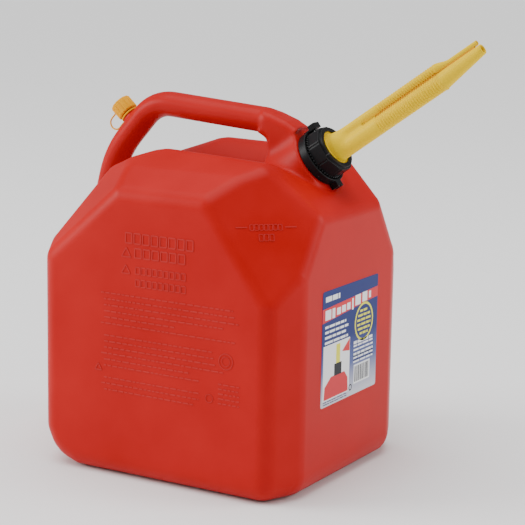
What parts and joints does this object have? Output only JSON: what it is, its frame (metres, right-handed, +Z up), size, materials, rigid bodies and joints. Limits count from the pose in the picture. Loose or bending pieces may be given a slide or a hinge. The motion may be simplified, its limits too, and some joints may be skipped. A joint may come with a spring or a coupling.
{
  "type": "fuel jerry can",
  "caption": "Blow-moulded plastic fuel can with an integral top handle, a screwed-on self-venting bendable spout and a tethered vent cap.",
  "frame": {"origin": "on the ground under the middle of the tank, on its mid-plane", "axes": "+X towards the spout end, +Y across the can, +Z up; the mid-plane is Y = 0"},
  "size_m": [0.4835, 0.286, 0.4854],
  "materials": {
    "red_plastic": "blow-moulded polyethylene, satin",
    "yellow_plastic": "moulded polyethylene, semi-gloss",
    "black_plastic": "moulded plastic, satin",
    "seal_rubber": "matt rubber",
    "label_film": "printed adhesive film"
  },
  "bodies": {
    "can": {"tank": "red_plastic", "front_label": "label_film", "latch_ring": "black_plastic", "vent_ring": "yellow_plastic"},
    "latch": {"latch_tab": "black_plastic"},
    "closure": {"spout_gasket": "seal_rubber"},
    "spout": {"spout_base": "yellow_plastic", "pour_bellows": "yellow_plastic", "breather_bellows": "yellow_plastic"},
    "spout_end": {"pour_nozzle": "yellow_plastic", "breather_tip": "yellow_plastic"},
    "collar": {"screw_collar": "black_plastic"},
    "vent": {"vent_cap": "yellow_plastic", "vent_cap_seal": "seal_rubber", "vent_tether": "yellow_plastic"}
  },
  "joints": [
    {"name": "latch_press", "type": "hinge", "parent": "can", "child": "latch", "pos_m": [0.1028, 0, 0.37428], "axis": [0, -1, 0], "range_deg": [0, 10], "stiffness_Nm_per_rad": 0.4},
    {"name": "closure_lift", "type": "slide", "parent": "can", "child": "closure", "axis": [0.8161, 0, 0.5779], "range_m": [0, 0.08]},
    {"name": "spout_rise", "type": "slide", "parent": "closure", "child": "spout", "axis": [0.8161, 0, 0.5779], "range_m": [0, 0.0121]},
    {"name": "collar_turn", "type": "hinge", "parent": "spout", "child": "collar", "pos_m": [0.1177, 0, 0.3477], "axis": [0.8161, 0, 0.5779], "range_deg": [0, 720]},
    {"name": "spout_bend", "type": "hinge", "parent": "spout", "child": "spout_end", "pos_m": [0.22217, 0, 0.42167], "axis": [0, 1, 0], "range_deg": [-30, 45], "deforming": ["pour_bellows", "breather_bellows"]},
    {"name": "vent_cap_pull", "type": "slide", "parent": "can", "child": "vent", "axis": [-0.7514, 0, 0.6598], "range_m": [0, 0.02], "deforming": ["vent_tether"]}
  ],
  "couplings": [
    {"joint": "spout_rise", "follows": "collar_turn", "m_per_rad": 0.00095493}
  ]
}
